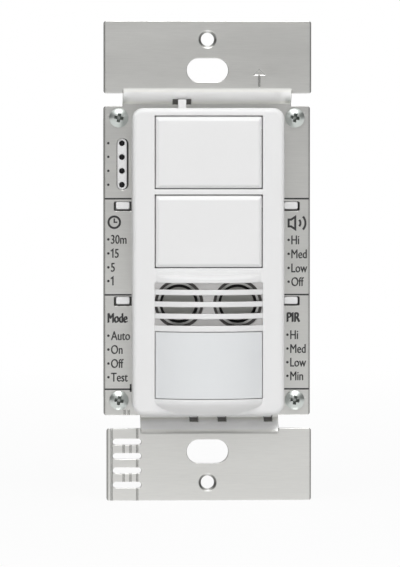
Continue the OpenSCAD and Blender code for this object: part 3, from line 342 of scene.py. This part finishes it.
# Painted shade on the recessed plate, growing from the tabs' rear at zero to the plate's face.
strap_place = strap_tree.nodes.new("ShaderNodeTexCoord")
deep = strap_tree.nodes.new("ShaderNodeSeparateXYZ")
link(strap_tree, strap_place.outputs["Object"], deep.inputs[0])
plate_shade = add_node(strap_tree, "ShaderNodeMapRange", From_Min=0, From_Max=plate_face, To_Min=1,
                 To_Max=PLATE_PAINTED_SHADE)
link(strap_tree, deep.outputs["Y"], plate_shade.inputs["Value"])
shade = maths(strap_tree, "MULTIPLY", shade, plate_shade.outputs[0])
strap_tint = strap_shader.inputs["Base Color"].links[0].from_socket
link(strap_tree, scale_colour(strap_tree, strap_tint, shade), strap_shader.inputs["Base Color"])
print("strap finish made")

# %% [markdown]
# The bezel, paddles, setting buttons and indicator strip are one white plastic with a smooth, half glossy
# face. The lens is a softer, milky plastic that lets heat rays through: a little light travels inside it,
# which subsurface scattering gives. The panel behind the grille is the same white family, but matt.

# %% White and milky plastics
finishes["white_plastic"], white_shader = make_finish(
    "white_plastic", (0.80, 0.80, 0.80), 0.36, tone=0.012, grain_scale=(2500, 2500, 2500), depth=0.002,
    edge=0.4)
white_shader.inputs["Subsurface Weight"].default_value = 0.3
white_shader.inputs["Subsurface Radius"].default_value = (1.0, 1.0, 1.0)
white_shader.inputs["Subsurface Scale"].default_value = 0.5 * MM
finishes["lens_plastic"], lens_shader = make_finish(
    "lens_plastic", (0.75, 0.765, 0.775), 0.4, tone=0.02, tone_scale=(45, 45, 45), depth=0.002, edge=0.1)
lens_shader.inputs["Subsurface Weight"].default_value = 0.25
lens_shader.inputs["Subsurface Radius"].default_value = (1.0, 1.0, 1.0)
lens_shader.inputs["Subsurface Scale"].default_value = 0.8 * MM
finishes["holder_plastic"], _ = make_finish(
    "holder_plastic", (0.92, 0.905, 0.895), 0.55, tone=0.03, depth=0.004)
print("white finishes made")

# %% [markdown]
# Bright metals: the drawn cans of the sound transducers, their grey spun discs, zinc plated screws, brass
# terminals and the green ground screw. They share the recipe and differ in colour, roughness and streaks.

# %% Small metals
metals = {
    "can_metal": ((0.62, 0.62, 0.6), 0.3, (900, 900, 2600), 0.08, 0.003),
    "disc_metal": ((0.54, 0.54, 0.51), 0.45, (2600, 2600, 2600), 0.14, 0.003),
    "zinc_steel": ((0.62, 0.655, 0.63), 0.36, (600, 600, 600), 0.08, 0.0003),
    "terminal_brass": ((0.72, 0.53, 0.25), 0.28, (600, 600, 600), 0.1, 0.0003),
    "ground_green": ((0.09, 0.34, 0.16), 0.3, (600, 600, 600), 0.1, 0.0003),
}
# Painted shade darkens the hollows of these metals, such as the cross in a screw head.
for slot, (colour, roughness, scale, tone, depth) in metals.items():
    finishes[slot], _ = make_finish(
        slot, colour, roughness, metallic=1, grain_scale=scale, tone=tone, depth=depth, edge=0.06,
        edge_gain=0.3, hollow_painted_shade=0.95)
print("metal finishes made:", len(metals))

# %% [markdown]
# Dark and coloured plastics: the rear case with its spark eroded grain, black switch bodies, smoked
# windows, rubber rings, and the parts on the boards. Most of these show only when the case is opened.

# %% Dark and coloured plastics
plastics = {
    "ring_rubber": ((0.12, 0.115, 0.11), 0.6, 2000, 0.1, 0.006),
    "black_plastic": ((0.045, 0.043, 0.042), 0.45, 1800, 0.1, 0.005),
    "dark_window": ((0.012, 0.012, 0.013), 0.16, 1500, 0.05, 0.001),
    "led_chip": ((0.75, 0.7, 0.45), 0.3, 3000, 0.05, 0.002),
    "case_plastic": ((0.1, 0.098, 0.094), 0.5, 1400, 0.16, 0.02),
    "board_laminate": ((0.03, 0.16, 0.08), 0.35, 900, 0.12, 0.004),
    "film_block": ((0.6, 0.36, 0.06), 0.35, 1500, 0.06, 0.003),
    "storage_sleeve": ((0.02, 0.025, 0.08), 0.3, 1500, 0.08, 0.003),
    "varistor_coat": ((0.03, 0.09, 0.32), 0.4, 1200, 0.08, 0.01),
    "fuse_body": ((0.62, 0.54, 0.42), 0.5, 1600, 0.08, 0.004),
}
for slot, (colour, roughness, scale, tone, depth) in plastics.items():
    finishes[slot], _ = make_finish(
        slot, colour, roughness, grain_scale=(scale, scale, scale), tone=tone, depth=depth)
window_shader = finishes["dark_window"].node_tree.nodes["Principled BSDF"]
window_shader.inputs["Specular IOR Level"].default_value = 0.15
print("dark and coloured finishes made:", len(plastics))

# %% [markdown]
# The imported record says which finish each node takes. Putting the material in the node's own slot keeps
# the mesh as it is.

# %% Dress the nodes
for part in frame["record"]["subparts"]:
    mesh = frame["nodes"][part["node"]].data
    mesh.materials.clear()
    mesh.materials.append(finishes[part["material_slot"]])

# %% [markdown]
# The legends on the wings are printed in dark ink. Ink has a thickness, if only a little, so each legend
# is a thin closed mesh that lies on the plate, instead of a picture. A flat outline is drawn in X and Z,
# then pushed out by the thickness of the ink.

# %% Ink and flat outlines
finishes["ink"], _ = make_finish("ink", (0.035, 0.035, 0.035), 0.5, tone=0.2, depth=0.003, edge=0.02)
INK = 0.03 * MM
INK_SINK = 0.005 * MM


def lay_ink(name, outlines):
    shape = bmesh.new()
    for outline in outlines:
        quads = [[shape.verts.new((x * MM, plate_face - INK, z * MM)) for x, z in quad] for quad in outline]
        for quad in quads:
            shape.faces.new(quad)
    bmesh.ops.remove_doubles(shape, verts=shape.verts, dist=0.001 * MM)
    fronts = shape.faces[:]
    pushed = bmesh.ops.extrude_face_region(shape, geom=fronts)
    moved = [item for item in pushed["geom"] if isinstance(item, bmesh.types.BMVert)]
    bmesh.ops.translate(shape, verts=moved, vec=(0, INK + INK_SINK, 0))
    bmesh.ops.recalc_face_normals(shape, faces=shape.faces)
    return finish_piece(name, shape)


def finish_piece(name, shape):
    mesh = bpy.data.meshes.new(name)
    shape.to_mesh(mesh)
    shape.free()
    mesh.materials.append(finishes["ink"])
    piece = bpy.data.objects.new(name, mesh)
    bpy.context.scene.collection.objects.link(piece)
    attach(piece, "switch_frame")
    return piece


def bar(left, right, low, high):
    return [[(left, low), (right, low), (right, high), (left, high)]]


def fan(x, z, radius, sides=20):
    rim = [
        (x + radius * math.cos(math.tau * i / sides), z + radius * math.sin(math.tau * i / sides))
        for i in range(sides)
    ]
    return [[(x, z), rim[i], rim[(i + 1) % sides]] for i in range(sides)]


def stroke(points, width, closed=False):
    count = len(points)
    sides = []
    for i, point in enumerate(points):
        before = points[i - 1] if closed or i else point
        after = points[(i + 1) % count] if closed or i < count - 1 else point
        into = (Vector(point) - Vector(before)).normalized()
        out = (Vector(after) - Vector(point)).normalized()
        along = (into + out).normalized()
        across = Vector((-along.y, along.x))
        reach = width / 2 / max(0.4, abs(across.dot(Vector((-out.y, out.x)))) if out.length else 1)
        sides.append((Vector(point) + across * reach, Vector(point) - across * reach))
    last = count if closed else count - 1
    quads = []
    for i in range(last):
        start, end = sides[i], sides[(i + 1) % count]
        quads.append([tuple(start[0]), tuple(end[0]), tuple(end[1]), tuple(start[1])])
    return quads


def arc(x, z, radius, start, end, steps=24):
    turns = [math.radians(start + (end - start) * i / steps) for i in range(steps + 1)]
    return [(x + radius * math.cos(turn), z + radius * math.sin(turn)) for turn in turns]


print("ink helpers ready")

# %% [markdown]
# Three lines cross each wing and part the settings from one another. Four small dots stand beside the four
# indicators. Heights are measured from the strap's middle. The wings' side edges roll off, so the tip of
# each line is a piece of its own at first, and its outer corners are then set back onto the roll.

# %% Lines and dots
LINE_W = 0.35
LINE_HEIGHTS = (13.6, -7.45, -28.15)
WING_INSET = 0.05
ROLL_W = 0.45
TIP_W = 0.22
TIP_DROP = 0.046
wing_mm = strap_edge / MM - WING_INSET - ROLL_W
bezel_mm = bezel_edge / MM + 0.02
lines = []
for z in LINE_HEIGHTS:
    lines.append(bar(-wing_mm, -bezel_mm, z - LINE_W / 2, z + LINE_W / 2))
    lines.append(bar(bezel_mm, wing_mm, z - LINE_W / 2, z + LINE_W / 2))
    lines.append(bar(-wing_mm - TIP_W, -wing_mm, z - LINE_W / 2, z + LINE_W / 2))
    lines.append(bar(wing_mm, wing_mm + TIP_W, z - LINE_W / 2, z + LINE_W / 2))
lines.append(bar(-bezel_mm - 0.4, -bezel_mm - 0.02, -28.75, -27.0))
divider_lines = lay_ink("divider_lines", lines)
for corner in divider_lines.data.vertices:
    if abs(corner.co.x) > (wing_mm + TIP_W / 2) * MM:
        corner.co.y += TIP_DROP * MM

INDEX_X = -21.6
INDEX_R = 0.27
INDEX_HEIGHTS = (25.76, 22.76, 19.71, 16.66)
lay_ink("index_dots", [fan(INDEX_X, z, INDEX_R) for z in INDEX_HEIGHTS])
print("lines:", len(lines), "dots:", len(INDEX_HEIGHTS))

# %% [markdown]
# A clock marks the timer settings and a loudspeaker marks the sound settings. Both are common signs, drawn
# as strokes of an even width.

# %% Signs
SIGN_STROKE = 0.46
HAND_STROKE = 0.3
CLOCK = (-20.3, 8.45)
CLOCK_R = 1.26
clock_rim = arc(*CLOCK, CLOCK_R, 0, 350, 35)
clock_hands = [(CLOCK[0], CLOCK[1] + 0.85), CLOCK, (CLOCK[0] + 0.68, CLOCK[1])]
lay_ink("clock_sign", [stroke(clock_rim, SIGN_STROKE, closed=True), stroke(clock_hands, HAND_STROKE)])

SPEAKER_X = 17.95
SPEAKER_Z = 8.25
speaker_box = [(0, -0.75), (0, 0.75), (0.55, 0.75), (1.45, 1.35), (1.45, -1.35), (0.55, -0.75)]
speaker = [stroke([(SPEAKER_X + x, SPEAKER_Z + z) for x, z in speaker_box], SIGN_STROKE, closed=True)]
for radius in (1.05, 2.15):
    speaker.append(stroke(arc(SPEAKER_X + 1.55, SPEAKER_Z, radius, -42, 42, 12), SIGN_STROKE))
lay_ink("speaker_sign", speaker)
print("signs made")

# %% [markdown]
# Words are Blender text objects in the built-in font, squeezed to the narrow set of the print, given the
# thickness of the ink and turned into meshes. As on an old printer, each word is struck three times with a
# small shift, which makes it bold without bending its outlines. The numeral one is drawn, to give it a flag.

# %% Words
CAP = 1.9
SQUEEZE = 0.73
BOLD = 0.1
HEADING_BOLD = 0.24
BULLET_R = 0.28
STRIKES = 3
STRIKE_LIFT = 0.002
ONE_W = 0.85


def letter_mesh(word):
    curve = bpy.data.curves.new("letters", "FONT")
    curve.body = word
    curve.extrude = 0.5
    curve.resolution_u = 4
    letters = bpy.data.objects.new("letters", curve)
    bpy.context.scene.collection.objects.link(letters)
    bpy.context.view_layer.update()
    mesh = bpy.data.meshes.new_from_object(letters.evaluated_get(bpy.context.evaluated_depsgraph_get()))
    bpy.data.objects.remove(letters)
    return mesh


tall = letter_mesh("H")
LETTER_CAP = max(v.co.y for v in tall.vertices) - min(v.co.y for v in tall.vertices)
ink_middle = plate_face - (INK - INK_SINK) / 2


def strike(shape, word, x, middle, cap, squeeze, lift):
    mesh = letter_mesh(word)
    start = min(v.co.x for v in mesh.vertices)
    size = cap * MM / LETTER_CAP
    mesh.transform(Matrix((
        (size * squeeze, 0, 0, x * MM - start * size * squeeze),
        (0, 0, -(INK + INK_SINK), ink_middle - lift * MM),
        (0, size, 0, (middle - cap / 2) * MM),
        (0, 0, 0, 1),
    )))
    shape.from_mesh(mesh)
    bpy.data.meshes.remove(mesh)


def write_words(name, words, bullets):
    shape = bmesh.new()
    for word, x, middle, cap, squeeze, bold in words:
        for i in range(STRIKES):
            share = i / (STRIKES - 1)
            height = middle + bold * (share - 0.5) / 2
            strike(shape, word, x + bold * share, height, cap, squeeze, STRIKE_LIFT * i)
    for x, z in bullets:
        hub = Matrix.Translation((x * MM, ink_middle, z * MM)) @ Matrix.Rotation(math.radians(90), 4, "X")
        bmesh.ops.create_cone(shape, cap_ends=True, segments=20, radius1=BULLET_R * MM, radius2=BULLET_R * MM,
                              depth=INK + INK_SINK, matrix=hub)
    bmesh.ops.remove_doubles(shape, verts=shape.verts, dist=0.0005 * MM)
    bmesh.ops.recalc_face_normals(shape, faces=shape.faces)
    return finish_piece(name, shape)


def numeral_one(x, z):
    return stroke([(x, z + 0.5), (x + 0.45, z + CAP / 2 - 0.1), (x + 0.45, z - CAP / 2)], 0.3)


def settings_list(name, bullet_x, text_x, heights, words, heading=()):
    rows, ones = [], []
    for word, z in zip(words, heights):
        start = text_x
        if word.startswith("1"):
            ones.append(numeral_one(text_x, z))
            word = word[1:]
            start += ONE_W
        if word:
            rows.append((word, start, z, CAP, SQUEEZE, BOLD))
    if ones:
        lay_ink(name + "_ones", ones)
    return write_words(name, [*heading, *rows], [(bullet_x, z) for z in heights])


settings_list("timer_legend", -21.6, -21.05, (4.7, 1.64, -1.42, -4.42), ("30m", "15", "5", "1"))
settings_list("sound_legend", 17.96, 18.53, (4.55, 1.49, -1.6, -4.62), ("Hi", "Med", "Low", "Off"))
settings_list("mode_legend", -21.6, -21.05, (-16.4, -19.44, -22.5, -25.5), ("Auto", "On", "Off", "Test"),
              [("Mode", -21.8, -12.5, 2.05, 0.63, HEADING_BOLD)])
settings_list("motion_legend", 17.7, 18.3, (-16.26, -19.3, -22.3, -25.3), ("Hi", "Med", "Low", "Min"),
              [("PIR", 17.5, -12.4, 2.05, 0.72, HEADING_BOLD)])
print("legends written")

# %% [markdown]
# A plain pale floor lies under the strap's lower edge. It turns white towards the camera and in reflections
# by way of the Light Path node, and close to the switch it still takes a soft shadow. Further off it turns
# fully white, so that no horizon shows.

# %% Floor
FLOOR_SIZE = 3.0
FLOOR_GAP = 0.02 * MM
FLOOR_NEAR_WHITE = 0.93


def seen_directly(tree):
    path = tree.nodes.new("ShaderNodeLightPath")
    seen = maths(tree, "MAXIMUM", path.outputs["Is Camera Ray"], path.outputs["Is Glossy Ray"])
    return maths(tree, "MAXIMUM", seen, path.outputs["Is Transmission Ray"])


floor_shape = bmesh.new()
bmesh.ops.create_grid(floor_shape, x_segments=8, y_segments=8, size=FLOOR_SIZE)
floor_mesh = bpy.data.meshes.new("floor")
floor_shape.to_mesh(floor_mesh)
floor_shape.free()
floor = bpy.data.objects.new("floor", floor_mesh)
floor.location.z = strap_low.z - FLOOR_GAP
bpy.context.scene.collection.objects.link(floor)

floor_material, floor_tree, floor_shader = start_material("pale_floor")
floor_shader.inputs["Base Color"].default_value = (0.8, 0.8, 0.8, 1)
floor_shader.inputs["Roughness"].default_value = 0.9
glow = add_node(floor_tree, "ShaderNodeEmission", Color=(1, 1, 1, 1), Strength=1)
floor_mix = floor_tree.nodes.new("ShaderNodeMixShader")
floor_place = floor_tree.nodes.new("ShaderNodeTexCoord")
from_switch = floor_tree.nodes.new("ShaderNodeVectorMath")
from_switch.operation = "LENGTH"
link(floor_tree, floor_place.outputs["Object"], from_switch.inputs[0])
whitening = add_node(
    floor_tree, "ShaderNodeMapRange", From_Min=0.1, From_Max=0.6, To_Min=FLOOR_NEAR_WHITE, To_Max=1)
link(floor_tree, from_switch.outputs["Value"], whitening.inputs["Value"])
share = maths(floor_tree, "MULTIPLY", seen_directly(floor_tree), whitening.outputs["Result"])
link(floor_tree, share, floor_mix.inputs[0])
link(floor_tree, floor_shader.outputs[0], floor_mix.inputs[1])
link(floor_tree, glow.outputs[0], floor_mix.inputs[2])
link(floor_tree, floor_mix.outputs[0], floor_tree.nodes["Material Output"].inputs["Surface"])
floor_mesh.materials.append(floor_material)
print("floor at", round(floor.location.z / MM, 2), "mm")

# %% [markdown]
# The world is white to the camera and in reflections, as the floor is, and lights the rest evenly at a lower
# level. A wide lamp above the front shapes the curved faces. A weak one at the left keeps the two sides from
# looking alike. A small one close to the lens's axis reaches the panel behind the grille, and is kept out of
# reflections because a glossy face would show it as a square.

# %% World and lamps
WORLD_LEVEL = 0.39
world = bpy.data.worlds.new("studio")
world.use_nodes = True
bpy.context.scene.world = world
studio = world.node_tree
backdrop = studio.nodes["Background"]
backdrop.inputs["Color"].default_value = (1, 1, 1, 1)
white_share = maths(studio, "MULTIPLY", seen_directly(studio), 1 - WORLD_LEVEL)
link(studio, maths(studio, "ADD", white_share, WORLD_LEVEL), backdrop.inputs["Strength"])


def hang_lamp(name, place, size, watts):
    lamp_data = bpy.data.lights.new(name, "AREA")
    lamp_data.shape = "SQUARE"
    lamp_data.size = size
    lamp_data.energy = watts
    lamp = bpy.data.objects.new(name, lamp_data)
    lamp.location = place
    lamp.rotation_euler = (-Vector(place)).to_track_quat("-Z", "Y").to_euler()
    bpy.context.scene.collection.objects.link(lamp)
    return lamp


hang_lamp("key_lamp", (-0.25, -0.85, 0.8), 0.7, 0.4)
hang_lamp("top_lamp", (0.0, -0.5, 0.7), 0.6, 3.9)
front_lamp = hang_lamp("front_lamp", (-0.07, -1.4, 0.06), 0.2, 4.1)
front_lamp.visible_glossy = False

# %% [markdown]
# Bare metal looks like whatever stands round it. Behind a real camera there is a dim room, so a dark wall
# bends round the front and both sides and fades to almost black at the sides. Only reflections see it. It
# gives the strap its grey against the white plastic and draws dark lines down the strap's rolled side edges,
# while the bends, which look up or down, still mirror the bright ceiling and floor.

# %% Dark wall behind the camera
WALL_RADIUS = 1.6
WALL_HEIGHT = 1.2
WALL_HALF_TURN = 100
WALL_FRONT = 0.16
WALL_SIDE = 0.03
WALL_PANELS = 24
wall_shape = bmesh.new()
rails = []
for i in range(WALL_PANELS + 1):
    turn = math.radians(-WALL_HALF_TURN + 2 * WALL_HALF_TURN * i / WALL_PANELS)
    x, y = WALL_RADIUS * math.sin(turn), -WALL_RADIUS * math.cos(turn)
    rails.append([wall_shape.verts.new((x, y, z)) for z in (0, WALL_HEIGHT)])
for first, second in zip(rails, rails[1:]):
    wall_shape.faces.new((first[0], second[0], second[1], first[1]))
wall_mesh = bpy.data.meshes.new("dark_wall")
wall_shape.to_mesh(wall_mesh)
wall_shape.free()
wall = bpy.data.objects.new("dark_wall", wall_mesh)
wall.location.z = strap_low.z
wall.visible_camera = False
wall.visible_diffuse = False
wall.visible_shadow = False
bpy.context.scene.collection.objects.link(wall)
wall_material = bpy.data.materials.new("dark_wall")
wall_material.use_nodes = True
wall_tree = wall_material.node_tree
wall_tree.nodes.remove(wall_tree.nodes["Principled BSDF"])
wall_grey = add_node(wall_tree, "ShaderNodeEmission", Color=(1, 1, 1, 1))
wall_place = wall_tree.nodes.new("ShaderNodeTexCoord")
wall_axes = wall_tree.nodes.new("ShaderNodeSeparateXYZ")
link(wall_tree, wall_place.outputs["Object"], wall_axes.inputs[0])
fade = add_node(
    wall_tree, "ShaderNodeMapRange", From_Min=0.3, From_Max=0.8, To_Min=WALL_SIDE, To_Max=WALL_FRONT)
link(wall_tree, maths(wall_tree, "DIVIDE", wall_axes.outputs["Y"], -WALL_RADIUS), fade.inputs["Value"])
link(wall_tree, fade.outputs[0], wall_grey.inputs["Strength"])
link(wall_tree, wall_grey.outputs[0], wall_tree.nodes["Material Output"].inputs["Surface"])
wall_mesh.materials.append(wall_material)
print("wall panels:", WALL_PANELS)
